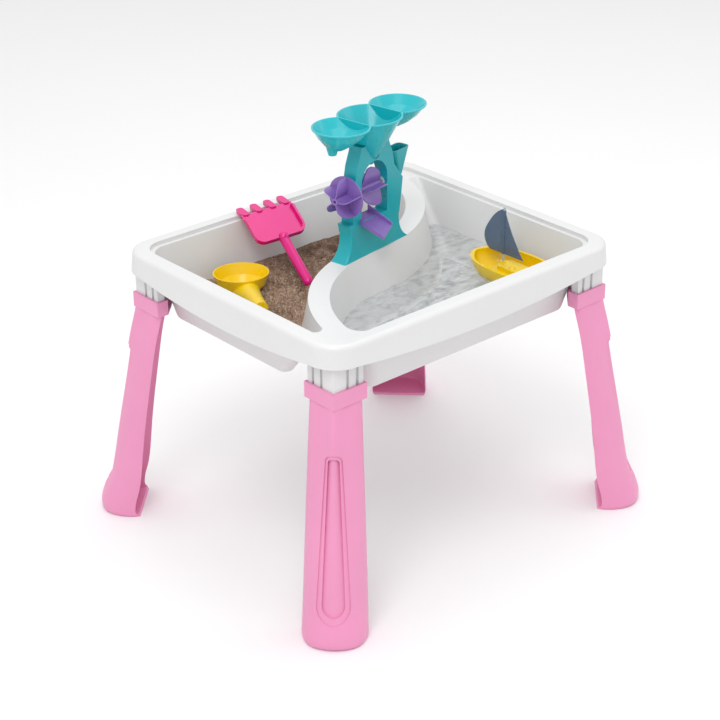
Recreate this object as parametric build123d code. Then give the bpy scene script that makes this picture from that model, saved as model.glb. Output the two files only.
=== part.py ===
"""Child's sand and water play table on four splayed legs.

Millimetres, +Z up.  The origin is the point on the floor under the middle of
the tray.  X runs along the long side of the tray, Y along the short side.
The water tower stands on the divider ridge, turned TOWER_YAW about Z.
"""
import math
import os

from build123d import *

os.makedirs("parts", exist_ok=True)

# ---------------------------------------------------------------- dimensions
# tray
RIM_Z = 453.4
LEDGE_Z = 447.0
FLOOR_Z = 340.5
WALL = 3.0
DRAFT = 13.5
RIM_HX, RIM_HY, RIM_R = 291.0, 249.0, 47.0
SKIRT_HX, SKIRT_HY, SKIRT_R = 295.0, 253.0, 50.0
SKIRT_Z = 404.0
SKIRT_CORNER_Z = 419.0
LEDGE_HX, LEDGE_HY, LEDGE_R = 267.5, 226.5, 33.0
BASIN_HX, BASIN_HY = 261.0, 220.0
# plan radii of a basin at the narrow tip, the round end and the outer corner
TOP_RADII = (11.0, 26.0, 30.0)
FLOOR_RADII = (14.0, 22.0, 24.0)
# S-shaped divider between the basins: two arcs meeting at the origin
RIDGE_CX, RIDGE_CY = 12.3, -248.7
RIDGE_R = math.hypot(RIDGE_CX, RIDGE_CY)
RIDGE_HALF = 15.8
# corner posts and leg collars
# legs: D runs outward on the diagonal, T across it
LEG_X, LEG_Y = 288.3, 245.3
LEG_WALL = 3.0
# teardrop recess: top radius and height, bottom radius and height
DISH = (12.5, 278.0, 25.0, 64.0)
DISH_DEPTH = 1.4
RECESS = (8.3, 277.0, 17.0, 66.0)
RECESS_DEPTH = 4.8
RECESS_BACK = (14.5, 278.0, 27.0, 64.0)
COLLAR_C = -8.15
COLLAR_ARM = 63.0
COLLAR_T = 3.4
COLLAR_TOP = 379.7
COLLAR_BOTTOM = 355.0
PLATE_T = 3.0
POST_GAP = 0.3
POST_T = 13.0
GROOVE_HALF, GROOVE_DEPTH = 2.8, 3.6
SCREW_R, SCREW_HEAD_R = 2.0, 3.6
# tower
TOWER_YAW = 9.7
TOWER_T = 11.5
TOWER_WALL = 2.4
SHOULDER_Z = 505.0
WINDOW_L, WINDOW_R = -33.0, 29.0
WINDOW_SPRING_Z = 561.0
WINDOW_BOTTOM_Z = 503.0
# cups
CUP_RIM_Z = 661.5
CUP_PITCH = 67.6
CUP_MID_U = 1.8
CUP_SIDE_R = 43.6
CUP_MID_R = 49.4
CUP_WALL = 2.0
RIM_BEAD, RIM_BEAD_H = 0.6, 1.8
# side bowls: height, radius and share of the sideways shift of each ring
BOWL_RINGS = [(630.0, 11.0, 1.0), (637.0, 22.5, 0.7), (647.0, 33.5, 0.3), (CUP_RIM_Z, 43.6, 0.0)]
LEFT_SHIFT, RIGHT_SHIFT = -9.0, -8.0
SPOUT_PLACE = (-80.5, 5.0)
SPOUT_Z = 621.0
# water wheel
AXLE_Z = 548.2
WHEEL_R = 32.3
DISC_U = -56.0
HUB_END_U = -83.0
# chute: left and right sides, then its back edge and its mouth at the right and left side
CHUTE_U = (-37.7, 4.8)
CHUTE_V = (6.0, -40.0, -57.0)
CHUTE_WALL = 2.0
AXLE_R = 3.0


# ------------------------------------------------------------------- helpers
def rounded_slab(hx, hy, r, z0, z1):
    """Upright slab with rounded corners between two heights."""
    face = Plane.XY.offset(z0) * RectangleRounded(2 * hx, 2 * hy, r)
    return extrude(face, z1 - z0)


def frustum_slab(bottom, top, z0, z1):
    """Rounded-rectangle loft; bottom and top are (half x, half y, radius)."""
    low = Plane.XY.offset(z0) * RectangleRounded(2 * bottom[0], 2 * bottom[1], bottom[2])
    high = Plane.XY.offset(z1) * RectangleRounded(2 * top[0], 2 * top[1], top[2])
    return loft([low.face(), high.face()], ruled=True)


def cone_z(x, y, z0, r0, z1, r1):
    """Solid cone frustum standing on a vertical axis."""
    height = z1 - z0
    return Pos(x, y, z0 + height / 2) * Cone(r0, r1, height)


def cyl_z(x, y, z0, z1, r):
    """Vertical cylinder between two heights."""
    return Pos(x, y, (z0 + z1) / 2) * Cylinder(r, z1 - z0)


def cyl_x(x0, x1, y, z, r):
    """Cylinder along X."""
    return Pos((x0 + x1) / 2, y, z) * Rot(0, 90, 0) * Cylinder(r, x1 - x0)


def cyl_y(x, y0, y1, z, r):
    """Cylinder along Y."""
    return Pos(x, (y0 + y1) / 2, z) * Rot(90, 0, 0) * Cylinder(r, y1 - y0)


def block(x0, x1, y0, y1, z0, z1):
    """Axis-aligned block from its limits."""
    centre = ((x0 + x1) / 2, (y0 + y1) / 2, (z0 + z1) / 2)
    return Pos(*centre) * Box(x1 - x0, y1 - y0, z1 - z0)


def save(shape, node):
    """Write one node to its own file."""
    export_step(shape, "parts/" + node + ".step")
    print(node, len(shape.solids()), round(shape.volume))


# ---------------------------------------------------------------------- tray
def arc(centre, radius, start, end):
    """Arc about a centre between two angles in degrees, in that order."""
    points = []
    for angle in (start, (start + end) / 2, end):
        a = math.radians(angle)
        points.append((centre[0] + radius * math.cos(a), centre[1] + radius * math.sin(a)))
    return ThreePointArc(*points)


def basin_outline(inset, tip_r, end_r, corner_r):
    """Plan of the sand basin, all sides moved inward by inset."""
    near_r = RIDGE_R + RIDGE_HALF + inset
    far_r = RIDGE_R - RIDGE_HALF - inset
    nx, ny = RIDGE_CX, RIDGE_CY
    hx, hy = BASIN_HX - inset, BASIN_HY - inset
    # narrow tip between the short wall and the ridge
    tx = tip_r - hx
    ty = ny + math.sqrt((near_r + tip_r) ** 2 - (tx - nx) ** 2)
    tip_angle = math.degrees(math.atan2(ty - ny, tx - nx))
    # round end between the ridge and the far wall
    ey = hy - end_r
    ex = -nx + math.sqrt((far_r - end_r) ** 2 - (ey + ny) ** 2)
    end_angle = math.degrees(math.atan2(ey + ny, ex + nx))
    join = math.degrees(math.atan2(-ny, -nx))
    edges = [
        arc((nx, ny), near_r, tip_angle, join),
        arc((-nx, -ny), far_r, join - 180, end_angle),
        arc((ex, ey), end_r, end_angle, 90),
        Line((ex, hy), (corner_r - hx, hy)),
        arc((corner_r - hx, hy - corner_r), corner_r, 90, 180),
        Line((-hx, hy - corner_r), (-hx, ty)),
        arc((tx, ty), tip_r, 180, tip_angle + 180),
    ]
    return make_face(Wire(edges))


def basin_solid(z_low, wall, low_round):
    """Drafted sand basin volume up to the ledge; wall grows it outward."""
    inset = (LEDGE_Z - z_low) * math.tan(math.radians(DRAFT)) - wall
    top = Pos(0, 0, LEDGE_Z) * basin_outline(-wall, *[radius + wall for radius in TOP_RADII])
    low = Pos(0, 0, z_low) * basin_outline(inset, *FLOOR_RADII)
    body = loft([low.face(), top.face()], ruled=True)
    return fillet(body.edges().group_by(Axis.Z)[0], low_round)


def skirt_cut(half, reach_0, reach_1):
    """Solid under the arched bottom edge of one pair of skirts, along X."""
    low = SKIRT_Z - 12
    edges = [
        Line((-330, low), (-330, SKIRT_CORNER_Z)),
        Line((-330, SKIRT_CORNER_Z), (-half, SKIRT_CORNER_Z)),
        ThreePointArc((-half, SKIRT_CORNER_Z), (0, SKIRT_Z + 1), (half, SKIRT_CORNER_Z)),
        Line((half, SKIRT_CORNER_Z), (330, SKIRT_CORNER_Z)),
        Line((330, SKIRT_CORNER_Z), (330, low)),
        Line((330, low), (-330, low)),
    ]
    face = Plane.XZ * make_face(Wire(edges))
    bar = extrude(face, reach_1 - reach_0, dir=(0, 1, 0))
    return Pos(0, reach_0, 0) * bar + Pos(0, -reach_1, 0) * bar


def post():
    """L-shaped socket post of the tray in the corner frame of a leg."""
    c = COLLAR_C - COLLAR_T - POST_GAP
    arm = COLLAR_ARM - 2 * (COLLAR_T + POST_GAP)
    z0 = COLLAR_BOTTOM + PLATE_T
    z1 = RIM_Z - WALL + 0.2
    body = block(c - arm, c, c - POST_T, c, z0, z1) + block(c - POST_T, c, c - arm, c, z0, z1)
    for place in (26.0, 44.0):
        low, high = c - place - GROOVE_HALF, c - place + GROOVE_HALF
        body -= block(low, high, c - GROOVE_DEPTH, c + 1, z0 - 1, RIM_Z - 12)
        body -= block(c - GROOVE_DEPTH, c + 1, low, high, z0 - 1, RIM_Z - 12)
    for x, y in screw_places():
        body -= cyl_z(x, y, z0 - 1, z0 + 15, SCREW_R)
    return body


def screw_places():
    """Two screws of a leg, in its corner frame."""
    off = COLLAR_C - COLLAR_T - POST_GAP - POST_T / 2
    return [(off, off - 22), (off - 22, off)]


def at_corner(shape, sx, sy):
    """Copy of a corner-frame shape on one of the four corners."""
    turn = {(1, 1): 0, (-1, 1): 90, (-1, -1): 180, (1, -1): 270}[(sx, sy)]
    return Pos(sx * LEG_X, sy * LEG_Y, 0) * Rot(0, 0, turn) * shape


CORNERS = {
    "front_left": (-1, -1),
    "front_right": (1, -1),
    "back_left": (-1, 1),
    "back_right": (1, 1),
}


def tray():
    """Rim, skirts, two basins, divider ridge and corner posts in one moulding."""
    outer = frustum_slab(
        (SKIRT_HX, SKIRT_HY, SKIRT_R), (RIM_HX, RIM_HY, RIM_R), SKIRT_Z, RIM_Z
    )
    outer = fillet(outer.edges().group_by(Axis.Z)[-1], 8.0)
    hollow = frustum_slab(
        (SKIRT_HX - WALL, SKIRT_HY - WALL, SKIRT_R - WALL),
        (RIM_HX - WALL, RIM_HY - WALL, RIM_R - WALL),
        SKIRT_Z - 1,
        RIM_Z - WALL,
    )
    hollow = fillet(hollow.edges().group_by(Axis.Z)[-1], 5.0)
    body = outer - hollow
    body -= skirt_cut(SKIRT_HX - SKIRT_R, SKIRT_HY - SKIRT_R, 300)
    body -= Rot(0, 0, 90) * skirt_cut(SKIRT_HY - SKIRT_R, SKIRT_HX - SKIRT_R, 340)
    body += rounded_slab(
        LEDGE_HX + WALL, LEDGE_HY + WALL, LEDGE_R + WALL, LEDGE_Z - WALL, RIM_Z - WALL + 1
    )
    for sx, sy in CORNERS.values():
        body += at_corner(post(), sx, sy)
    shell = basin_solid(FLOOR_Z - WALL, WALL, 9)
    body += shell
    body += Rot(0, 0, 180) * shell
    body -= rounded_slab(LEDGE_HX, LEDGE_HY, LEDGE_R, LEDGE_Z, RIM_Z + 1)
    cavity = basin_solid(FLOOR_Z, 0, 8)
    body -= cavity
    body -= Rot(0, 0, 180) * cavity
    for u, v in PEG_PLACES:
        body -= Rot(0, 0, TOWER_YAW) * cyl_z(u, v, LEDGE_Z - 9, LEDGE_Z + 1, PEG_R + 0.4)
    return body


# ---------------------------------------------------------------------- legs
LEG_SHAPE_TOP = [(-49.0, 36.8), (-34.5, 34.0), (-22.0, 22.0), (-9.0, 9.5), (0.0, 0.0)]
LEG_SHAPE_LOW = [(-65.0, 47.0), (-27.0, 45.0), (-9.5, 33.0), (-2.5, 17.0), (0.0, 0.0)]
LEG_APEX = [(357.0, -14.6), (330.0, -8.0), (300.0, -0.8), (65.0, 44.7), (45.0, 50.5),
            (28.0, 57.0), (14.0, 60.5), (6.0, 60.0), (0.0, 56.5)]


def apex_at(z):
    """Front line of the leg: distance outward on the diagonal at a height."""
    for (z1, d1), (z0, d0) in zip(LEG_APEX, LEG_APEX[1:]):
        if z >= z0:
            return d0 + (d1 - d0) * (z - z0) / (z1 - z0)
    return LEG_APEX[-1][1]


def leg_section(z, inset, back):
    """Closed plan section of the leg at a height, moved inward by inset."""
    w = 1 - z / COLLAR_BOTTOM
    apex = apex_at(z)
    low_round = max(0.0, 6.0 - z) * 0.5
    half = []
    for (ax, ay), (bx, by) in zip(LEG_SHAPE_TOP, LEG_SHAPE_LOW):
        half.append((apex + ax + (bx - ax) * w, ay + (by - ay) * w))
    full = half + [(d, -t) for d, t in reversed(half[:-1])]
    moved = []
    for i, (d, t) in enumerate(full):
        d0, t0 = full[max(i - 1, 0)]
        d1, t1 = full[min(i + 1, len(full) - 1)]
        nd, nt = t1 - t0, d0 - d1
        size = math.hypot(nd, nt)
        step = inset + low_round
        moved.append((d + nd / size * step, t + nt / size * step))
    first, last = moved[0], moved[-1]
    moved[0] = (first[0] - back, first[1])
    moved[-1] = (last[0] - back, last[1])
    edges = [Spline(*moved), Line(moved[-1], moved[0])]
    return Pos(0, 0, z) * make_face(Wire(edges))


def leg_loft(inset, back, z0, z1):
    """Loft of the leg body between two heights."""
    levels = [z0] + [z for z in (6, 14, 28, 45, 65, 120, 200, 260, 300, 330) if z > z0 + 2] + [z1]
    return loft([leg_section(z, inset, back).face() for z in levels])


def teardrop(r_top, z_top, r_low, z_low):
    """Prism with a teardrop outline in the T-Z plane, along D."""
    span = z_top - z_low
    lean = math.asin((r_low - r_top) / span)
    c, s = math.cos(lean), math.sin(lean)
    a = (r_top * c, z_top + r_top * s)
    b = (r_low * c, z_low + r_low * s)
    edges = [
        ThreePointArc(a, (0, z_top + r_top), (-a[0], a[1])),
        Line((-a[0], a[1]), (-b[0], b[1])),
        ThreePointArc((-b[0], b[1]), (0, z_low - r_low), b),
        Line(b, a),
    ]
    return Pos(-12, 0, 0) * extrude(Plane.YZ * make_face(Wire(edges)), 110)


def leg():
    """Hollow leg with its collar, in the corner frame."""
    body = leg_loft(0, 0, 0, COLLAR_BOTTOM + 1)
    body -= teardrop(*DISH) - leg_loft(DISH_DEPTH, 10, 3, 350)
    body -= teardrop(*RECESS) - leg_loft(RECESS_DEPTH, 10, 3, 350)
    cavity = leg_loft(LEG_WALL, 20, LEG_WALL, COLLAR_BOTTOM)
    keep = teardrop(*RECESS_BACK) - leg_loft(RECESS_DEPTH + 2.6, 10, 4, 350)
    body -= cavity - keep
    body = Rot(0, 0, 45) * body
    c = COLLAR_C
    z0, z1 = COLLAR_BOTTOM, COLLAR_TOP
    collar = block(c - COLLAR_ARM, c, c - COLLAR_T, c, z0, z1)
    collar += block(c - COLLAR_T, c, c - COLLAR_ARM, c, z0, z1)
    collar += block(c - COLLAR_ARM, c - COLLAR_ARM + COLLAR_T, c - 20, c, z0, z1)
    collar += block(c - 20, c, c - COLLAR_ARM, c - COLLAR_ARM + COLLAR_T, z0, z1)
    plan = Polyline(
        (c, c), (c - COLLAR_ARM, c), (c - COLLAR_ARM, c - 20), (c - 20, c - COLLAR_ARM),
        (c, c - COLLAR_ARM), close=True
    )
    collar += extrude(Pos(0, 0, z0) * make_face(plan), PLATE_T)
    body += collar
    for x, y in screw_places():
        body -= cyl_z(x, y, z0 - 1, z0 + PLATE_T + 1, SCREW_R + 0.2)
    return body


def leg_screw(x, y):
    """Pan-head screw up through the collar plate into the post."""
    z = COLLAR_BOTTOM
    return cyl_z(x, y, z - 2.4, z, SCREW_HEAD_R) + cyl_z(x, y, z, z + 16, SCREW_R)


# --------------------------------------------------------------------- tower
PEG_PLACES = [(-46.0, 4.0), (46.0, 1.0)]
PEG_R = 3.6
TOWER_RIGHT = [(59.5, 490.0), (61.5, 503.0), (64.5, 520.0), (68.0, 546.0), (47.5, 572.0),
               (43.0, 593.0), (34.5, 613.0), (32.0, 621.0)]
TOWER_BASE = [(447.0, 77.5, 14.5), (452.0, 71.0, 13.9), (460.0, 64.8, 13.2),
              (474.0, 60.0, 12.5), (490.0, 59.5, 12.0), (503.0, 61.5, TOWER_T)]
SCREW_SPOTS = [(-43.0, 517.0), (44.0, 517.0), (36.5, 588.0), (-36.5, 588.0), (-30.0, 470.0),
               (30.0, 470.0)]


def place_tower(shape):
    """Turn a tower-frame shape onto the ridge."""
    return Rot(0, 0, TOWER_YAW) * shape


def tower_outline():
    """Front outline above the base, with the wheel window cut through."""
    right = [Vector(u, z) for u, z in TOWER_RIGHT]
    left = [Vector(-u, z) for u, z in TOWER_RIGHT[4:]]
    points = right + left[::-1] + [
        Vector(-53, 565), Vector(-53, SHOULDER_Z), Vector(-63, SHOULDER_Z),
        Vector(-61.5, 501), Vector(-59.5, 490)
    ]
    plate = make_face(Polyline(*points, close=True))
    mid = (WINDOW_L + WINDOW_R) / 2
    half = (WINDOW_R - WINDOW_L) / 2
    tall = WINDOW_SPRING_Z - WINDOW_BOTTOM_Z
    window = Pos(mid, WINDOW_BOTTOM_Z + tall / 2) * Rectangle(2 * half, tall)
    window += Pos(mid, WINDOW_SPRING_Z) * Circle(half)
    return plate - window


def tower_block(wall):
    """Tower volume; wall moves every face inward."""
    face = tower_outline()
    if wall:
        face = offset(face, -wall, kind=Kind.INTERSECTION)
    half = TOWER_T - wall
    upper = Pos(0, half, 0) * extrude(Plane.XZ * face, 2 * half)
    sections = []
    for z, hw, ht in TOWER_BASE:
        level = z + wall if z == TOWER_BASE[0][0] else z
        sheet = RectangleRounded(2 * (hw - wall), 2 * (ht - wall), 3.0)
        sections.append((Pos(0, 0, min(level, 503 - wall)) * sheet).face())
    return upper + loft(sections)


def seat_cone(grow):
    """Outside of the middle cup's funnel, grown outward."""
    u = CUP_MID_U
    low = cone_z(u, 0, 583, 4.6 + grow, 619, 26.0 + grow)
    return low + cone_z(u, 0, 619, 26.0 + grow, 640, 37.6 + grow)


def tower_shell():
    """Hollow tower with funnel seat, screw bosses and bearing bores."""
    solid = tower_block(0)
    shell = solid - tower_block(TOWER_WALL)
    shell += solid & seat_cone(2.6)
    for u, z in SCREW_SPOTS:
        shell += cyl_y(u, -TOWER_T, TOWER_T, z, 3.6)
    shell += cyl_x(WINDOW_L - 19.9, WINDOW_L - 0.1, 0, AXLE_Z, 7.0)
    shell += cyl_x(WINDOW_R + 0.1, WINDOW_R + 17, 0, AXLE_Z, 7.0)
    shell -= seat_cone(0.3)
    shell -= cyl_x(-60, WINDOW_L + 1, 0, AXLE_Z, BUSH_R)
    shell -= cyl_x(WINDOW_R - 1, WINDOW_R + 14, 0, AXLE_Z, BUSH_R)
    return shell


def tower_halves():
    """Front and back halves of the tower, split on its middle plane."""
    shell = tower_shell()
    front = shell & block(-120, 120, -60, 0, 430, 700)
    back = shell & block(-120, 120, 0, 60, 430, 700)
    for u, z in SCREW_SPOTS:
        front -= cyl_y(u, -7, 1, z, 1.5)
        back -= cyl_y(u, -1, 20, z, 1.7)
        back -= cyl_y(u, TOWER_T - 2.0, 20, z, 3.2)
    for u, v in PEG_PLACES:
        back += cyl_z(u, v, LEDGE_Z - 8, LEDGE_Z + 4, PEG_R)
        front -= cyl_z(u, v, LEDGE_Z - 1, LEDGE_Z + 4.5, PEG_R + 0.2)
    return front, back


def tower_screw(u, z):
    """Screw from the back through both halves of the tower."""
    head = cyl_y(u, TOWER_T - 2.0, TOWER_T - 0.2, z, 2.9)
    return head + cyl_y(u, -6.5, TOWER_T - 2.0, z, 1.5)


def hopper():
    """Half-cone catch bucket on the side of the tower, open at the top."""
    top = Pos(67, 1, 591) * RectangleRounded(42, 24, 8)
    low = Pos(72.5, 1, 547) * RectangleRounded(9, 10, 3)
    outer = loft([low.face(), top.face()], ruled=True)
    top_in = Pos(67, 1, 591.5) * RectangleRounded(38, 20, 6)
    low_in = Pos(72.3, 1, 551) * RectangleRounded(6, 7, 2)
    body = outer - loft([low_in.face(), top_in.face()], ruled=True)
    body += block(40, 49.5, -3, 5, 574, 588) - loft([low_in.face(), top_in.face()], ruled=True)
    return body - tower_block(0)


# ---------------------------------------------------------------------- cups
def bowl(u, shift, inset):
    """Side bowl of the cup tray; its bottom is moved along the row by shift."""
    rings = []
    for z, r, move in BOWL_RINGS:
        level = z + (inset if z < CUP_RIM_Z else 0.01 * (inset > 0))
        rings.append((Pos(u + shift * move, 0, level) * Circle(r - inset)).face())
    return loft(rings, ruled=True)


def cup_tray():
    """Three funnel cups in one moulding, in the tower frame."""
    u0 = CUP_MID_U
    ul, ur = u0 - CUP_PITCH, u0 + CUP_PITCH
    top = CUP_RIM_Z
    w = CUP_WALL
    reach = (CUP_PITCH ** 2 + CUP_MID_R ** 2 - CUP_SIDE_R ** 2) / (2 * CUP_PITCH)
    middle = block(u0 - reach + w / 2, u0 + reach - w / 2, -80, 80, 560, 700)
    between = block(u0 - reach - w / 2, u0 + reach + w / 2, -80, 80, 560, 700)
    outer = cone_z(u0, 0, 619, 26.0, top, CUP_MID_R) + cone_z(u0, 0, 584, 4.6, 619, 26.0)
    inner_mid = cone_z(u0, 0, 620.5, 24.0, top + 0.01, CUP_MID_R - w)
    inner_mid += cone_z(u0, 0, 587.5, 2.6, 620.5, 24.0)
    inner_mid &= middle
    outer += bowl(ul, LEFT_SHIFT, 0) + bowl(ur, RIGHT_SHIFT, 0)
    inner_side = bowl(ul, LEFT_SHIFT, w) + bowl(ur, RIGHT_SHIFT, w) - between
    for u, r in ((ul, CUP_SIDE_R), (u0, CUP_MID_R), (ur, CUP_SIDE_R)):
        outer += cyl_z(u, 0, top - RIM_BEAD_H, top, r + RIM_BEAD)
    su, sv = SPOUT_PLACE
    outer += cone_z(su, sv, SPOUT_Z, 6.2, SPOUT_Z + 22, 12.5)
    body = outer - inner_mid - inner_side
    body -= cone_z(su, sv, SPOUT_Z - 0.01, 4.2, SPOUT_Z + 22.1, 10.5)
    body -= cyl_z(u0, 0, 580, 590, 2.3)
    return body - cyl_z(ur + RIGHT_SHIFT, 0, 618, 636, 3.6)


# --------------------------------------------------------------- water wheel
BUSH_R = 5.0
BLADE_ANGLES = [90.0, 18.0, -54.0, -126.0, 162.0]


def lathe_x(points):
    """Solid of revolution about the axle from (u, radius) points."""
    face = make_face(Polyline(*[(u, r) for u, r in points], close=True))
    return Pos(0, 0, AXLE_Z) * revolve(Plane.XZ * face, Axis.X)


def wheel_outer():
    """Half-round scoop wheel hung outside the tower, with its back disc."""
    lathe = lathe_x([(HUB_END_U, 0), (HUB_END_U, 17), (-81.2, 23), (-77, 27.8), (-70, 30.8),
                     (DISC_U, WHEEL_R), (DISC_U, 0)])
    blades = blades_at(HUB_END_U, DISC_U + 0.5, WHEEL_R + 2) & lathe
    body = blades + cyl_x(DISC_U - 1.0, DISC_U + 1.0, 0, AXLE_Z, WHEEL_R)
    body += cyl_x(HUB_END_U, DISC_U + 1.0, 0, AXLE_Z, 5.4)
    body -= cyl_x(HUB_END_U + 4, DISC_U + 2, 0, AXLE_Z, AXLE_R)
    body -= cyl_x(HUB_END_U - 1, HUB_END_U + 4.5, 0, AXLE_Z, 2.4)
    return body


def blades_at(u0, u1, radius):
    """The blade star moved onto the axle between two stations."""
    star = None
    for angle in BLADE_ANGLES:
        blade = curved_blade(u1 - u0, radius)
        blade = Rot(-angle, 0, 0) * blade
        star = blade if star is None else star + blade
    return Pos(u0, 0, AXLE_Z) * star


def curved_blade(length, radius):
    """One blade: along X by its length, reaching out along -Y, hollow side up."""
    t = 0.9
    edges = [
        ThreePointArc((-3.6, t), (-radius * 0.55, t - 4.5), (-radius, t + 1.0)),
        Line((-radius, t + 1.0), (-radius, -t + 1.0)),
        ThreePointArc((-radius, -t + 1.0), (-radius * 0.55, -t - 4.5), (-3.6, -t)),
        Line((-3.6, -t), (-3.6, t)),
    ]
    return extrude(Plane.YZ * make_face(Wire(edges)), length)


def wheel_inner():
    """Scoop wheel inside the tower window."""
    lathe = lathe_x([(-22.5, 0), (-22.5, 7), (-20.5, 16), (-16, 23.5), (-10, 28.3), (-4, 30.5),
                     (4, 30.5), (10, 28.3), (16, 23.5), (20.5, 16), (22.5, 7), (22.5, 0)])
    body = (blades_at(-22.5, 22.5, 33) & lathe) + cyl_x(-24.5, 24.5, 0, AXLE_Z, 5.4)
    return body - cyl_x(-26, 26, 0, AXLE_Z, AXLE_R)


def wheel_axle():
    """Plain pin carrying both wheels."""
    pin = cyl_x(HUB_END_U + 4.5, WINDOW_R + 13, 0, AXLE_Z, AXLE_R)
    return pin


def bushes():
    """Bearing bushes held between the tower halves."""
    left = cyl_x(WINDOW_L - 20.9, WINDOW_L + 1.2, 0, AXLE_Z, BUSH_R)
    left += cyl_x(WINDOW_L, WINDOW_L + 1.2, 0, AXLE_Z, 6.4)
    left -= cyl_x(-60, 0, 0, AXLE_Z, AXLE_R + 0.06)
    right = cyl_x(WINDOW_R - 1.2, WINDOW_R + 14, 0, AXLE_Z, BUSH_R)
    right += cyl_x(WINDOW_R - 1.2, WINDOW_R, 0, AXLE_Z, 6.4)
    right -= cyl_x(WINDOW_R - 3, WINDOW_R + 13.2, 0, AXLE_Z, AXLE_R + 0.06)
    return left, right


def chute():
    """Open trough from inside the window, over its sill and out over the water basin."""
    u0, u1 = CHUTE_U
    back, near_r, near_l = CHUTE_V
    w = CHUTE_WALL
    plan = [(u0, back), (u1, back), (u1, near_r), (u0, near_l)]
    slab = extrude(Pos(0, 0, 480) * make_face(Polyline(*plan, close=True)), 40)
    inner = [(u0 + w, back + 1), (u1 - w, back + 1), (u1 - w, near_r - 9), (u0 + w, near_l - 9)]
    bay = extrude(Pos(0, 0, 480) * make_face(Polyline(*inner, close=True)), 50)
    side = [(10, 517.4), (-60, 490.8), (-60, 486.3), (10, 506.5)]
    wedge = Pos(-60, 0, 0) * extrude(Plane.YZ * make_face(Polyline(*side, close=True)), 90)
    bed = [(10, 530.0), (-62, 530.0), (-62, 488.0), (10, 508.7)]
    hollow = Pos(-60, 0, 0) * extrude(Plane.YZ * make_face(Polyline(*bed, close=True)), 90)
    return (slab & wedge) - (bay & hollow) - tower_block(0)


# ---------------------------------------------------------------- loose toys
RAKE_SLOPE = 33.0
RAKE_BEND = (-40.0, 203.0, 460.8)
GRIP_R = 8.0


def rake():
    """Toy rake hooked over the far rim, handle end in the sand."""
    head = Pos(0, -31, 0) * extrude(RectangleRounded(88, 62, 15), 9)
    head -= Pos(0, -30, 2.4) * extrude(RectangleRounded(81, 56, 12), 9)
    head -= block(-60, 60, -8, 12, 2.4, 12)
    head += block(-44, 44, -14, 0, 0, 2.4)
    head += cyl_y(0, -150, -57, 5.0, GRIP_R)
    head += Pos(0, -150, 5.0) * Sphere(GRIP_R)
    head += Pos(0, -62, 6.5) * Sphere(GRIP_R + 0.6)
    tip = None
    for x in (-36.0, -12.0, 12.0, 36.0):
        tine = Pos(x, 10, 1.2) * extrude(RectangleRounded(12, 32, 5.5), 3.0, both=True)
        tine = Pos(0, -2, 0) * Rot(-RAKE_SLOPE, 0, 0) * Pos(0, 2, 0) * tine
        tip = tine if tip is None else tip + tine
    return Pos(*RAKE_BEND) * Rot(0, 0, -9) * Rot(RAKE_SLOPE, 0, 0) * Rot(0, -6, 0) * (head + tip)


def grip_section(y, half_w, low, high):
    """Half-round section of the scoop's handle, flat side down, across its length."""
    edges = [
        ThreePointArc((-half_w, low), (0, high), (half_w, low)),
        Line((half_w, low), (-half_w, low)),
    ]
    return (Pos(0, y, 0) * (Plane.XZ * make_face(Wire(edges)))).face()


def scoop():
    """Round scoop lying on the sand, its half-round hollow handle towards the near rim."""
    profile = [(0, 0), (15, 0.4), (28, 5), (38, 16), (44, 34), (41.8, 34), (36, 17), (27, 7.2),
               (15, 2.8), (0, 2.4)]
    bowl_shell = revolve(Plane.XZ * make_face(Polyline(*profile, close=True)), Axis.Z)
    outside = revolve(Plane.XZ * make_face(Polyline(*profile[:5], (0, 34), close=True)), Axis.Z)
    outer = loft([grip_section(-30, 22, 6, 32), grip_section(-74, 14, 14, 31),
                  grip_section(-122, 11, 18, 30)])
    inner = loft([grip_section(-29, 19.6, 5.9, 29.4), grip_section(-74, 11.8, 13.9, 28.6),
                  grip_section(-119.6, 8.8, 17.9, 27.6)])
    grip = outer - inner - outside
    return Pos(-141, 142, 366.5) * Rot(0, 0, -24) * Rot(-3, 0, 0) * (bowl_shell + grip)


BOAT_X, BOAT_Y, BOAT_RIM_Z, BOAT_KEEL_Z = 190.0, -117.0, 405.0, 371.0
MAST_Y = BOAT_Y + 15.0
MAST_TOP = 491.5
BOAT_PLAN = [(0.0, 74.0), (22.0, 66.0), (38.0, 43.0), (45.0, 8.0), (44.0, -35.0),
             (35.0, -60.0), (0.0, -70.0)]


def hull_section(z, scale, inset):
    """Plan section of the hull."""
    right = [((x * scale - inset) if x else 0.0, y * scale + (-inset if y > 0 else inset) * (x < 30))
             for x, y in BOAT_PLAN]
    left = [(-x, y) for x, y in reversed(right[1:-1])]
    line = Spline(*(right + left), periodic=True)
    return (Pos(BOAT_X, BOAT_Y, z) * make_face(line)).face()


def boat_hull():
    """Open hull with a flat keel."""
    outer = loft([hull_section(BOAT_KEEL_Z, 0.66, 0), hull_section(382, 0.84, 0),
                  hull_section(394, 0.95, 0), hull_section(BOAT_RIM_Z, 1.0, 0)])
    inner = loft([hull_section(BOAT_KEEL_Z + 2.6, 0.66, 2.4), hull_section(383, 0.84, 2.6),
                  hull_section(394, 0.95, 3.4), hull_section(BOAT_RIM_Z + 0.01, 1.0, 4.6)])
    return outer - inner


def boat_deck():
    """Raised cabin block standing on the hull floor."""
    x, y = BOAT_X, BOAT_Y
    z0 = BOAT_KEEL_Z + 2.6
    body = Pos(x, y - 6, z0) * extrude(RectangleRounded(48, 64, 13), 20, taper=4)
    body += Pos(x, y - 6, z0 + 20) * extrude(RectangleRounded(34, 48, 10), 6, taper=12)
    body += Pos(x - 7, y - 12, z0 + 23) * Sphere(6.5)
    body += cyl_z(x, MAST_Y, z0 + 10, z0 + 28, 4.5)
    return body - cyl_z(x, MAST_Y, z0 + 12, z0 + 60, 1.8)


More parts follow.
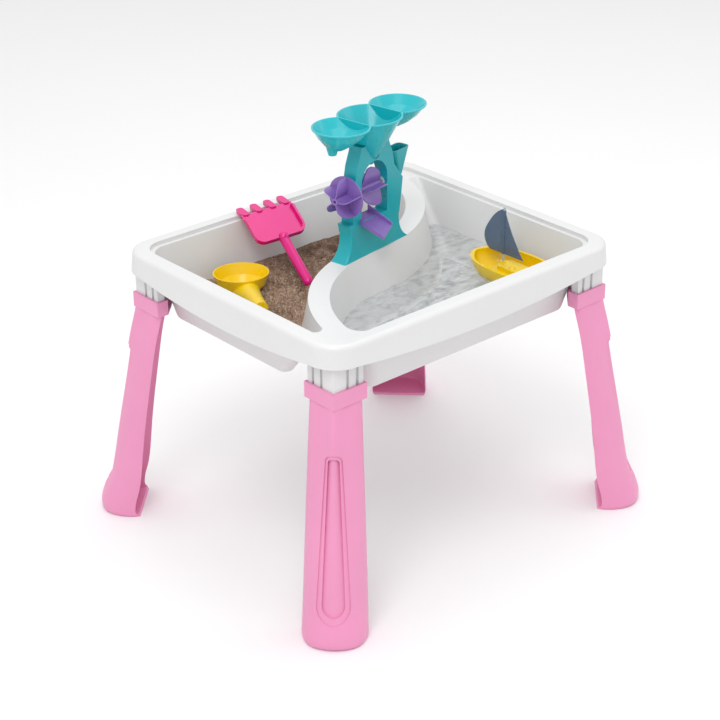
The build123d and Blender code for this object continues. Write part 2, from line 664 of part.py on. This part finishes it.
def boat_mast():
    """Thin mast plugged into the cabin."""
    z0 = BOAT_KEEL_Z + 2.6
    return cyl_z(BOAT_X, MAST_Y, z0 + 12, MAST_TOP, 1.8)


def boat_sail():
    """Thin sail with a sleeve round the mast."""
    x, y, top = BOAT_X, MAST_Y, MAST_TOP - 1.5
    edges = [
        Spline((0, top), (20, top - 14), (34, top - 33), (42, top - 52), (38.7, top - 67),
               (29, top - 76)),
        Line((29, top - 76), (-43, top - 75)),
        Spline((-43, top - 75), (-20, top - 42), (0, top)),
    ]
    sheet = Pos(x - 0.6, y, 0) * extrude(Plane.YZ * make_face(Wire(edges)), 1.2)
    body = sheet + cyl_z(x, y, top - 75.5, top - 3, 2.8)
    return body - cyl_z(x, y, top - 90, top + 5, 1.8)


# --------------------------------------------------------------------- export
save(tray(), "tray")
LEG = leg()
SCREWS = []
for name, (side_x, side_y) in CORNERS.items():
    save(at_corner(LEG, side_x, side_y), "leg_" + name)
    for px, py in screw_places():
        SCREWS.append(at_corner(leg_screw(px, py), side_x, side_y))
save(Compound(children=SCREWS), "leg_screws")
FRONT, BACK = tower_halves()
save(place_tower(FRONT), "tower_front")
save(place_tower(BACK), "tower_back")
save(Compound(children=[place_tower(tower_screw(u, z)) for u, z in SCREW_SPOTS]), "tower_screws")
save(place_tower(hopper()), "side_hopper")
save(place_tower(cup_tray()), "cup_tray")
save(place_tower(chute()), "chute")
save(place_tower(wheel_outer()), "wheel_outer")
save(place_tower(wheel_inner()), "wheel_inner")
save(place_tower(wheel_axle()), "wheel_axle")
LEFT_BUSH, RIGHT_BUSH = bushes()
save(place_tower(LEFT_BUSH), "axle_bush_left")
save(place_tower(RIGHT_BUSH), "axle_bush_right")
save(rake(), "rake")
save(scoop(), "scoop")
save(boat_hull(), "boat_hull")
save(boat_deck(), "boat_deck")
save(boat_mast(), "boat_mast")
save(boat_sail(), "boat_sail")
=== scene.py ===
"""Looks of the sand and water play table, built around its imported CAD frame.

Metres, +Z up, origin on the floor under the middle of the tray.
"""

import math

import bmesh
import bpy
from mathutils import Matrix, Vector, noise
from mathutils.geometry import delaunay_2d_cdt


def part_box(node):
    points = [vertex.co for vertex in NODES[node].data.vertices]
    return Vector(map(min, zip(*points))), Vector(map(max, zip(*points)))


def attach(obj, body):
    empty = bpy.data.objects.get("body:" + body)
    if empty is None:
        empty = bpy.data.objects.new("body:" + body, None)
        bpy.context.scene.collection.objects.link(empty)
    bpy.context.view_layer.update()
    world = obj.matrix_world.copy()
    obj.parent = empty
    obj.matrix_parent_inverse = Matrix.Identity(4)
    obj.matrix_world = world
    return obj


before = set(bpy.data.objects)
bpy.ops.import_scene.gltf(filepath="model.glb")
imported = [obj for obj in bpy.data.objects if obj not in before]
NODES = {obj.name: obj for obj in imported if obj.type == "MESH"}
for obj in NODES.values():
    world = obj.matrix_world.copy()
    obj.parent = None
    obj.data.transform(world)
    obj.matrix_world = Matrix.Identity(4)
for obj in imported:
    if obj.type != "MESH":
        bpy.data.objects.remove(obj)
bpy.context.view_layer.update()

# ---------------------------------------------------------------- dimensions
TABLE_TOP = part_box("tray")[1].z
# height of the recessed ledge and of the basin floors, below the rim
LEDGE_Z = TABLE_TOP - 0.0064
FLOOR_Z = TABLE_TOP - 0.1129
DRAFT_TAN = math.tan(math.radians(13.5))
BASIN_HX, BASIN_HY = 0.261, 0.220
TOP_RADII = (0.011, 0.026, 0.030)
FLOOR_RADII = (0.014, 0.022, 0.024)
# centre, radius and half width of the arcs of the S-shaped divider
RIDGE_CX, RIDGE_CY = 0.0123, -0.2487
RIDGE_R = math.hypot(RIDGE_CX, RIDGE_CY)
RIDGE_HALF = 0.0158
WATER_Z = 0.385
SAND_Z = 0.3755
BURY = 0.0015
# scoop: middle of its bowl from its box's far corner, slope towards its handle, its heading
BOWL_FROM_CORNER = (0.0447, 0.0456)
SCOOP_LEAN = 0.052
SCOOP_HEADING = (0.407, 0.914)
# radius and height of the bowl's underside, from its lowest point outwards
BOWL_PROFILE = [(0.0, 0.0), (0.015, 0.0004), (0.028, 0.005), (0.038, 0.016), (0.044, 0.034), (0.060, 0.080)]
BOWL_REACH = 0.058
BOWL_GAP = 0.0008
# sand heap beside the tower: middle, spread and height
HEAP_X, HEAP_Y, HEAP_RX, HEAP_RY, HEAP_H = 0.040, 0.080, 0.080, 0.070, 0.026


# ------------------------------------------------------------- mesh helpers
def new_object(name, verts, faces, smooth=True):
    """A mesh object from points and faces, linked to the scene."""
    mesh = bpy.data.meshes.new(name)
    mesh.from_pydata([tuple(v) for v in verts], [], faces)
    mesh.validate()
    obj = bpy.data.objects.new(name, mesh)
    bpy.context.scene.collection.objects.link(obj)
    mesh.polygons.foreach_set("use_smooth", [smooth] * len(mesh.polygons))
    return obj


def outward(obj):
    """Turn every face of a closed mesh to the outside."""
    bm = bmesh.new()
    bm.from_mesh(obj.data)
    bmesh.ops.recalc_face_normals(bm, faces=bm.faces)
    bm.to_mesh(obj.data)
    bm.free()


def arc_points(cx, cy, r, start, end, count):
    """Points along an arc, without its last one."""
    steps = [start + (end - start) * i / count for i in range(count)]
    return [(cx + r * math.cos(a), cy + r * math.sin(a)) for a in steps]


def line_points(a, b, count):
    """Points along a line, without its last one."""
    return [(a[0] + (b[0] - a[0]) * i / count, a[1] + (b[1] - a[1]) * i / count) for i in range(count)]


def basin_ring(inset, radii):
    """Plan outline of the sand basin at one height, counted the same at every height."""
    tip_r, end_r, corner_r = radii
    near_r = RIDGE_R + RIDGE_HALF + inset
    far_r = RIDGE_R - RIDGE_HALF - inset
    hx, hy = BASIN_HX - inset, BASIN_HY - inset
    tx = tip_r - hx
    ty = RIDGE_CY + math.sqrt((near_r + tip_r) ** 2 - (tx - RIDGE_CX) ** 2)
    tip_angle = math.atan2(ty - RIDGE_CY, tx - RIDGE_CX)
    ey = hy - end_r
    ex = -RIDGE_CX + math.sqrt((far_r - end_r) ** 2 - (ey + RIDGE_CY) ** 2)
    end_angle = math.atan2(ey + RIDGE_CY, ex + RIDGE_CX)
    join = math.atan2(-RIDGE_CY, -RIDGE_CX)
    quarter = math.pi / 2
    ring = arc_points(RIDGE_CX, RIDGE_CY, near_r, tip_angle, join, 70)
    ring += arc_points(-RIDGE_CX, -RIDGE_CY, far_r, join - math.pi, end_angle, 60)
    ring += arc_points(ex, ey, end_r, end_angle, quarter, 14)
    ring += line_points((ex, hy), (corner_r - hx, hy), 90)
    ring += arc_points(corner_r - hx, hy - corner_r, corner_r, quarter, 2 * quarter, 12)
    ring += line_points((-hx, hy - corner_r), (-hx, ty), 70)
    ring += arc_points(tx, ty, tip_r, 2 * quarter, tip_angle + math.pi, 8)
    return ring


FLOOR_RING = basin_ring((LEDGE_Z - FLOOR_Z) * DRAFT_TAN - BURY, FLOOR_RADII)
LEDGE_RING = basin_ring(-BURY, TOP_RADII)


def wall_point(i, z):
    """Point i of the basin wall at a height, just inside the moulding."""
    t = (z - FLOOR_Z) / (LEDGE_Z - FLOOR_Z)
    (ax, ay), (bx, by) = FLOOR_RING[i], LEDGE_RING[i]
    return ax + (bx - ax) * t, ay + (by - ay) * t


def clearance(x, y, z):
    """How far a point of the sand basin lies inside its walls at a height."""
    inset = (LEDGE_Z - z) * DRAFT_TAN
    if x * -RIDGE_CY + y * RIDGE_CX < 0:
        ridge = math.hypot(x - RIDGE_CX, y - RIDGE_CY) - (RIDGE_R + RIDGE_HALF + inset)
    else:
        ridge = (RIDGE_R - RIDGE_HALF - inset) - math.hypot(x + RIDGE_CX, y + RIDGE_CY)
    return min(x + BASIN_HX - inset, BASIN_HY - inset - y, ridge)


def inside(x, y, ring):
    """Even-odd test of a point against a closed outline."""
    hit = False
    for (ax, ay), (bx, by) in zip(ring, ring[1:] + ring[:1]):
        if (ay > y) != (by > y) and x < (bx - ax) * (y - ay) / (by - ay) + ax:
            hit = not hit
    return hit


def grid_points(step, z, margin, holes):
    """Staggered grid over the sand basin, kept clear of its walls and of the holes."""
    points = []
    rows = int(2 * BASIN_HY / (step * 0.87))
    for row in range(rows):
        y = -BASIN_HY + row * step * 0.87
        shift = step * 0.5 * (row % 2)
        for col in range(int(2 * BASIN_HX / step)):
            x = -BASIN_HX + shift + col * step
            if clearance(x, y, z) < margin:
                continue
            if any(inside(x, y, hole) for hole in holes):
                continue
            points.append((x, y))
    return points


def filled_basin(name, step, level, height, holes=(), hole_floors=()):
    """Closed body that fills the sand basin up to height(x, y); holes stand open to their floors."""
    count = len(FLOOR_RING)
    ring_z = [height(*wall_point(i, level)) for i in range(count)]
    ring = [wall_point(i, ring_z[i]) for i in range(count)]
    points = [Vector(p) for p in ring]
    edges = [(i, (i + 1) % count) for i in range(count)]
    for hole in holes:
        start = len(points)
        points += [Vector(p) for p in hole]
        edges += [(start + i, start + (i + 1) % len(hole)) for i in range(len(hole))]
    points += [Vector(p) for p in grid_points(step, level, step * 0.7, holes)]
    flat, _, faces, *_ = delaunay_2d_cdt(points, edges, [list(range(count))], 1, 1e-7)
    verts, tris = [], []
    for p in flat:
        verts.append((p.x, p.y, height(p.x, p.y)))
    for f in faces:
        cx = sum(flat[i].x for i in f) / len(f)
        cy = sum(flat[i].y for i in f) / len(f)
        if not any(inside(cx, cy, hole) for hole in holes):
            tris.append(tuple(f))
    bottom = FLOOR_Z + 0.0004
    skirts = [(ring, [(*wall_point(i, bottom), bottom) for i in range(count)])]
    for hole, floor_ring in zip(holes, hole_floors):
        skirts.append((hole, floor_ring))
    for top_ring, low_ring in skirts:
        top_index = []
        for x, y in top_ring:
            verts.append((x, y, height(x, y)))
            top_index.append(len(verts) - 1)
        low_index = []
        for p in low_ring:
            verts.append(tuple(p))
            low_index.append(len(verts) - 1)
        size = len(top_ring)
        for i in range(size):
            j = (i + 1) % size
            tris.append((top_index[i], top_index[j], low_index[j], low_index[i]))
        tris.append(tuple(low_index))
    obj = new_object(name, verts, tris)
    bm = bmesh.new()
    bm.from_mesh(obj.data)
    bmesh.ops.remove_doubles(bm, verts=bm.verts, dist=2e-6)
    loose = [v for v in bm.verts if not v.link_faces]
    bmesh.ops.delete(bm, geom=loose, context="VERTS")
    bmesh.ops.recalc_face_normals(bm, faces=bm.faces)
    for face in bm.faces:
        face.smooth = True
    bm.to_mesh(obj.data)
    bm.free()
    return obj


def hull_outline(node, z, grow, count=56):
    """Convex outline of a CAD node cut at a height, made a little larger, from its support lines."""
    bm = bmesh.new()
    bm.from_mesh(NODES[node].data)
    cut = bmesh.ops.bisect_plane(
        bm, geom=bm.verts[:] + bm.edges[:] + bm.faces[:], plane_co=(0, 0, z), plane_no=(0, 0, 1)
    )
    found = [v.co.to_2d() for v in cut["geom_cut"] if isinstance(v, bmesh.types.BMVert)]
    bm.free()
    low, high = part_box(node)
    middle = ((low + high) / 2).to_2d()
    sides = []
    for k in range(count):
        a = 2 * math.pi * k / count
        ray = Vector((math.cos(a), math.sin(a)))
        sides.append((ray, grow + max((p - middle).dot(ray) for p in found)))
    points = []
    for (ra, da), (rb, db) in zip(sides, sides[1:] + sides[:1]):
        cross = ra.x * rb.y - ra.y * rb.x
        x = (da * rb.y - db * ra.y) / cross
        y = (db * ra.x - da * rb.x) / cross
        points.append((middle.x + x, middle.y + y))
    return points


# ---------------------------------------------------------------- materials
class Shader:
    """A node material with a short way to add and link nodes."""

    def __init__(self, name):
        self.material = bpy.data.materials.new(name)
        self.material.use_nodes = True
        self.tree = self.material.node_tree
        self.bsdf = self.tree.nodes["Principled BSDF"]
        self.place = self.add("ShaderNodeTexCoord").outputs["Object"]

    def add(self, kind, **values):
        """A new node with its settings and input values."""
        node = self.tree.nodes.new(kind)
        for key, value in values.items():
            if hasattr(node, key):
                setattr(node, key, value)
            else:
                node.inputs[key.replace("_", " ")].default_value = value
        return node

    def link(self, source, node, socket):
        self.tree.links.new(source, node.inputs[socket])

    def noise(self, scale, detail=3.0, rough=0.5, source=None):
        node = self.add("ShaderNodeTexNoise", Scale=scale, Detail=detail, Roughness=rough)
        self.link(source or self.place, node, "Vector")
        return node.outputs["Fac"]

    def stretched(self, x, y, z):
        node = self.add("ShaderNodeMapping")
        node.inputs["Scale"].default_value = (x, y, z)
        self.link(self.place, node, "Vector")
        return node.outputs["Vector"]

    def ramp(self, source, stops):
        node = self.add("ShaderNodeValToRGB")
        band = node.color_ramp
        while len(band.elements) < len(stops):
            band.elements.new(0.5)
        for element, (at, color) in zip(band.elements, stops):
            element.position = at
            element.color = (*color, 1.0)
        self.link(source, node, "Fac")
        return node.outputs["Color"]

    def span(self, source, low, high, out_low, out_high):
        node = self.add("ShaderNodeMapRange")
        for socket, value in (("From Min", low), ("From Max", high),
                              ("To Min", out_low), ("To Max", out_high)):
            node.inputs[socket].default_value = value
        self.link(source, node, "Value")
        return node.outputs["Result"]

    def mix(self, factor, a, b):
        node = self.add("ShaderNodeMix", data_type="RGBA")
        self.link(factor, node, 0)
        for index, value in ((6, a), (7, b)):
            if hasattr(value, "is_linked"):
                self.tree.links.new(value, node.inputs[index])
            else:
                node.inputs[index].default_value = (*value, 1.0)
        return node.outputs[2]

    def bump(self, source, strength, distance, under=None):
        node = self.add("ShaderNodeBump", Strength=strength, Distance=distance)
        self.link(source, node, "Height")
        if under:
            self.link(under, node, "Normal")
        return node.outputs["Normal"]

    def color(self, source):
        self.link(source, self.bsdf, "Base Color")

    def fixed(self, **values):
        for key, value in values.items():
            self.bsdf.inputs[key.replace("_", " ")].default_value = value


def shade(color, factor):
    """The colour made lighter or darker."""
    return tuple(min(1.0, c * factor) for c in color)


def moulded_plastic(name, color, rough, grain=0.25, coat=0.0, vary=0.05, glow=0.0):
    """Injection-moulded plastic: faint mottling, fine skin grain, handling scuffs."""
    s = Shader(name)
    cloud = s.noise(9.0, 4.0, 0.55)
    base = s.mix(s.span(cloud, 0.3, 0.7, 0.0, 1.0), shade(color, 1 - vary), shade(color, 1 + vary))
    scuff_field = s.noise(60.0, 6.0, 0.65, s.stretched(1.0, 1.0, 0.12))
    scuff = s.span(scuff_field, 0.66, 0.80, 0.0, 0.35)
    pale = tuple(c + (0.9 - c) * 0.35 for c in color)
    s.color(s.mix(scuff, base, pale))
    wear = s.noise(26.0, 5.0, 0.6)
    s.link(s.span(wear, 0.25, 0.75, rough - 0.06, rough + 0.09), s.bsdf, "Roughness")
    skin = s.bump(s.noise(1400.0, 2.0, 0.6), grain, 0.00012)
    flow = s.bump(s.noise(42.0, 3.0, 0.5), 0.10, 0.0006, skin)
    s.link(flow, s.bsdf, "Normal")
    s.fixed(IOR=1.49, Coat_Weight=coat, Coat_Roughness=0.12, Subsurface_Weight=glow)
    if glow:
        s.bsdf.inputs["Subsurface Radius"].default_value = (0.006, 0.004, 0.004)
        s.bsdf.inputs["Subsurface Scale"].default_value = 1.0
    return s.material


def sand_material():
    """Play sand: mixed grains, lighter dry crust, and darker patches that grow towards +X."""
    s = Shader("sand")
    patch = s.noise(24.0, 6.0, 0.65)
    base = s.ramp(patch, [(0.32, (0.13, 0.070, 0.042)), (0.46, (0.29, 0.180, 0.120)),
                          (0.58, (0.44, 0.300, 0.215)), (0.74, (0.60, 0.450, 0.345))])
    grains = s.add("ShaderNodeTexVoronoi", Scale=480.0)
    s.link(s.place, grains, "Vector")
    tone = s.ramp(grains.outputs["Color"], [(0.0, (0.05, 0.028, 0.018)), (0.40, (0.30, 0.19, 0.13)),
                                            (0.70, (0.52, 0.38, 0.28)), (1.0, (0.86, 0.74, 0.63))])
    speck = s.noise(200.0, 3.0, 0.65)
    mixed = s.mix(s.span(speck, 0.35, 0.62, 0.20, 0.80), base, tone)
    # darker patches: a noisy mask that grows towards +X mixes in a dark brown
    apart = s.add("ShaderNodeSeparateXYZ")
    s.link(s.place, apart, "Vector")
    reach = s.span(apart.outputs["X"], -0.09, 0.04, 0.05, 0.75)
    darker_towards_x = s.add("ShaderNodeMath", operation="MULTIPLY")
    s.link(reach, darker_towards_x, 0)
    s.link(s.span(s.noise(30.0, 4.0, 0.6), 0.36, 0.60, 0.45, 1.0), darker_towards_x, 1)
    s.color(s.mix(darker_towards_x.outputs[0], mixed, (0.085, 0.045, 0.028)))
    coarse = s.bump(s.noise(150.0, 5.0, 0.75), 0.9, 0.0034)
    fine = s.bump(grains.outputs["Distance"], 0.7, 0.0012, coarse)
    s.link(fine, s.bsdf, "Normal")
    s.link(s.span(speck, 0.3, 0.7, 0.80, 0.97), s.bsdf, "Roughness")
    s.fixed(Specular_IOR_Level=0.25)
    return s.material


def water_material():
    """Clear water: a nearly invisible body with a rippled, shining skin, and painted ripple highlights and
    painted shade in its colour.
    """
    s = Shader("clear_water")
    skin = s.bump(s.noise(44.0, 4.0, 0.6), 0.85, 0.0070)
    fine = s.bump(s.noise(120.0, 3.0, 0.5), 0.30, 0.0012, skin)
    s.link(fine, s.bsdf, "Normal")
    # painted ripple light: grey-to-white patches in the colour stand for ripple highlights and shade; the
    # same mask sets the alpha
    painted_ripple_light = s.noise(46.0, 5.0, 0.68, s.stretched(1.0, 1.6, 1.0))
    s.color(s.ramp(painted_ripple_light, [(0.40, (0.34, 0.36, 0.37)), (0.50, (0.74, 0.77, 0.78)),
                           (0.58, (0.96, 0.98, 1.0))]))
    s.link(s.span(painted_ripple_light, 0.36, 0.60, 0.44, 0.20), s.bsdf, "Alpha")
    s.fixed(IOR=1.33, Roughness=0.03, Specular_IOR_Level=1.0)
    return s.material


def sail_material():
    """Smooth slate-blue sheet plastic that lets a little light through."""
    s = Shader("sail_sheet")
    streak = s.noise(40.0, 3.0, 0.5, s.stretched(1.0, 1.0, 0.08))
    s.color(s.mix(streak, (0.075, 0.125, 0.21), (0.13, 0.19, 0.29)))
    s.link(s.span(s.noise(18.0, 3.0), 0.3, 0.7, 0.22, 0.34), s.bsdf, "Roughness")
    s.link(s.bump(s.noise(1100.0, 2.0), 0.1, 0.0001), s.bsdf, "Normal")
    s.fixed(IOR=1.49, Alpha=0.90)
    return s.material


def steel_material(name, color, rough):
    """Zinc-plated or ground steel with turning marks."""
    s = Shader(name)
    lines = s.noise(900.0, 3.0, 0.6, s.stretched(0.1, 1.0, 1.0))
    s.color(s.mix(lines, shade(color, 0.85), color))
    s.link(s.span(lines, 0.3, 0.7, rough - 0.06, rough + 0.10), s.bsdf, "Roughness")
    s.link(s.bump(lines, 0.15, 0.00008), s.bsdf, "Normal")
    s.fixed(Metallic=1.0)
    return s.material


def paint(nodes, material):
    """Give CAD nodes a material in place of their plain one."""
    for node in nodes:
        for slot in NODES[node].material_slots:
            slot.material = material


def finish_cad_nodes():
    """Materials of every carried-over CAD node."""
    legs = [n for n in NODES if n.startswith("leg_") and n != "leg_screws"]
    white = moulded_plastic("white_moulded", (0.745, 0.745, 0.745), 0.34, 0.20, 0.05, 0.015)
    pink = moulded_plastic("pink_moulded", (0.82, 0.30, 0.51), 0.38, 0.30, 0.0, 0.03)
    teal = moulded_plastic("teal_moulded", (0.004, 0.40, 0.455), 0.30, 0.20, 0.15, 0.05)
    cup = moulded_plastic("teal_cups", (0.008, 0.47, 0.525), 0.24, 0.12, 0.25, 0.04)
    purple = moulded_plastic("purple_moulded", (0.255, 0.145, 0.47), 0.30, 0.15, 0.2, 0.05)
    magenta = moulded_plastic("magenta_moulded", (0.74, 0.0008, 0.22), 0.20, 0.12, 0.3, 0.03)
    yellow = moulded_plastic("yellow_moulded", (0.88, 0.60, 0.002), 0.24, 0.15, 0.2, 0.03)
    mast = moulded_plastic("mast_moulded", (0.42, 0.50, 0.58), 0.35, 0.10, 0.0, 0.04)
    bush = moulded_plastic("bush_moulded", (0.70, 0.70, 0.68), 0.45, 0.20, 0.0, 0.04)
    paint(["tray"], white)
    paint(legs, pink)
    paint(["tower_front", "tower_back", "side_hopper"], teal)
    paint(["cup_tray"], cup)
    paint(["wheel_outer", "wheel_inner", "chute"], purple)
    paint(["rake"], magenta)
    paint(["scoop", "boat_hull", "boat_deck"], yellow)
    paint(["boat_mast"], mast)
    paint(["boat_sail"], sail_material())
    paint(["axle_bush_left", "axle_bush_right"], bush)
    paint(["leg_screws", "tower_screws"], steel_material("zinc_screws", (0.62, 0.62, 0.63), 0.35))
    paint(["wheel_axle"], steel_material("axle_steel", (0.66, 0.66, 0.68), 0.22))


# --------------------------------------------------------- sand and water
def bowl_depth(r):
    """Height of the scoop's round bottom above its lowest point, at a radius."""
    for (r0, z0), (r1, z1) in zip(BOWL_PROFILE, BOWL_PROFILE[1:]):
        if r <= r1:
            return z0 + (z1 - z0) * (r - r0) / (r1 - r0)
    return BOWL_PROFILE[-1][1]


def sand_height(scoop_middle, scoop_base):
    """Height of the sand surface, with a hollow where the scoop lies."""
    def height(x, y):
        p = Vector((x, y, 0.0))
        drift = 0.005 * noise.fractal(p * 16.0, 0.6, 2.0, 4)
        heap = HEAP_H * math.exp(-(((x - HEAP_X) / HEAP_RX) ** 2 + ((y - HEAP_Y) / HEAP_RY) ** 2))
        lump = noise.turbulence(p * 52.0, 3, False) - 0.35
        near, far = noise.voronoi(p * 85.0)[0][:2]
        clod = min(1.0, (far - near) * 2.2) * (0.5 + 0.5 * noise.noise(p * 40.0))
        rough = 0.0105 * lump + 0.0080 * (clod - 0.3)
        edge = min(1.0, max(0.0, clearance(x, y, SAND_Z)) / 0.012)
        z = SAND_Z + heap + drift * (0.4 + 0.6 * edge) + rough * edge
        dx, dy = x - scoop_middle[0], y - scoop_middle[1]
        r = math.hypot(dx, dy)
        if r < BOWL_REACH:
            lean = -SCOOP_LEAN * (SCOOP_HEADING[0] * dx + SCOOP_HEADING[1] * dy)
            z = min(z, scoop_base + bowl_depth(r) + lean - BOWL_GAP)
        return z
    return height


def sand_bed():
    """Lumpy sand that fills the lower part of the sand basin."""
    low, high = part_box("scoop")
    middle = (high.x - BOWL_FROM_CORNER[0], high.y - BOWL_FROM_CORNER[1])
    height = sand_height(middle, low.z + 0.0004)
    bed = filled_basin("sand_bed", 0.0022, SAND_Z, height)
    bed.data.materials.append(sand_material())
    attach(bed, "tray")
    return bed


def ripple_height(spout):
    """Height of the water surface, rippled around the point where the chute pours in."""
    def height(x, y):
        # the surface is worked out in the sand basin's place and turned half round later
        px, py = -x, -y
        r = math.hypot(px - spout[0], py - spout[1])
        ring = 0.0014 * math.exp(-r / 0.080) * math.cos(r * 330.0)
        p = Vector((px, py, 0.0))
        chop = 0.0010 * noise.fractal(p * 30.0, 0.5, 2.0, 3)
        return WATER_Z + ring + chop
    return height


def water_body():
    """Clear water in the other basin, open where the boat floats."""
    low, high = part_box("chute")
    spout = ((low.x + high.x) / 2, low.y - 0.012)
    height = ripple_height(spout)
    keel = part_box("boat_hull")[0].z
    waterline = [(-x, -y) for x, y in hull_outline("boat_hull", WATER_Z, 0.0004)]
    under = hull_outline("boat_hull", keel + 0.0008, 0.0004)
    floor_ring = [(-x, -y, keel - 0.0006) for x, y in under]
    body = filled_basin("water", 0.0042, WATER_Z, height, [waterline], [floor_ring])
    for v in body.data.vertices:
        v.co.x, v.co.y = -v.co.x, -v.co.y
    outward(body)
    body.data.materials.append(water_material())
    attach(body, "tray")
    return body


# ------------------------------------------------------------ floor, light
def studio_floor():
    """Plain pale floor under the table."""
    size = 40.0
    corners = [(-size, -size, 0), (size, -size, 0), (size, size, 0), (-size, size, 0)]
    floor = new_object("studio_floor", corners, [(0, 1, 2, 3)], smooth=False)
    s = Shader("floor_white")
    s.color(s.mix(s.noise(1.5, 2.0), (0.93, 0.93, 0.93), (0.95, 0.95, 0.95)))
    s.fixed(Roughness=0.9, Specular_IOR_Level=0.1)
    floor.data.materials.append(s.material)


def area_light(name, place, target, size, power):
    """A square soft light that looks at a point."""
    data = bpy.data.lights.new(name, "AREA")
    data.shape = "SQUARE"
    data.size = size
    data.energy = power
    light = bpy.data.objects.new(name, data)
    bpy.context.scene.collection.objects.link(light)
    light.location = place
    aim = Vector(target) - Vector(place)
    light.rotation_mode = "QUATERNION"
    light.rotation_quaternion = aim.to_track_quat("-Z", "Y")


def studio_light():
    """Soft, nearly even light with a key from the front left."""
    world = bpy.data.worlds.new("studio_world")
    bpy.context.scene.world = world
    world.use_nodes = True
    background = world.node_tree.nodes["Background"]
    background.inputs["Color"].default_value = (1.0, 1.0, 1.0, 1.0)
    background.inputs["Strength"].default_value = 0.77
    middle = (0.0, 0.0, 0.35)
    area_light("key", (-1.6, -1.2, 3.2), middle, 1.6, 42.0)
    area_light("top", (0.6, 0.6, 3.4), middle, 2.2, 22.0)
    area_light("fill", (2.6, -1.6, 1.8), middle, 2.0, 8.0)


def camera():
    """Camera at a three-quarter view from above the front left corner."""
    azimuth, elevation, roll = (math.radians(a) for a in (-41.38, 26.54, -0.40))
    back = Vector((math.sin(azimuth) * math.cos(elevation),
                   -math.cos(azimuth) * math.cos(elevation), math.sin(elevation)))
    right = (-back).cross(Vector((0, 0, 1))).normalized()
    up = right.cross(-back).normalized()
    turned_right = right * math.cos(roll) + up * math.sin(roll)
    turned_up = up * math.cos(roll) - right * math.sin(roll)
    data = bpy.data.cameras.new("camera")
    data.lens = 96.88
    data.sensor_width = 36.0
    data.clip_start = 0.05
    cam = bpy.data.objects.new("camera", data)
    bpy.context.scene.collection.objects.link(cam)
    cam.location = (-1.825, -2.0473, 1.6238)
    axes = [turned_right, turned_up, back]
    cam.rotation_mode = "QUATERNION"
    cam.rotation_quaternion = Matrix(axes).transposed().to_quaternion()
    bpy.context.scene.camera = cam


# ------------------------------------------------------------------- scene
bpy.context.scene.view_settings.view_transform = "Standard"
finish_cad_nodes()
sand_bed()
water_body()
studio_floor()
studio_light()
camera()
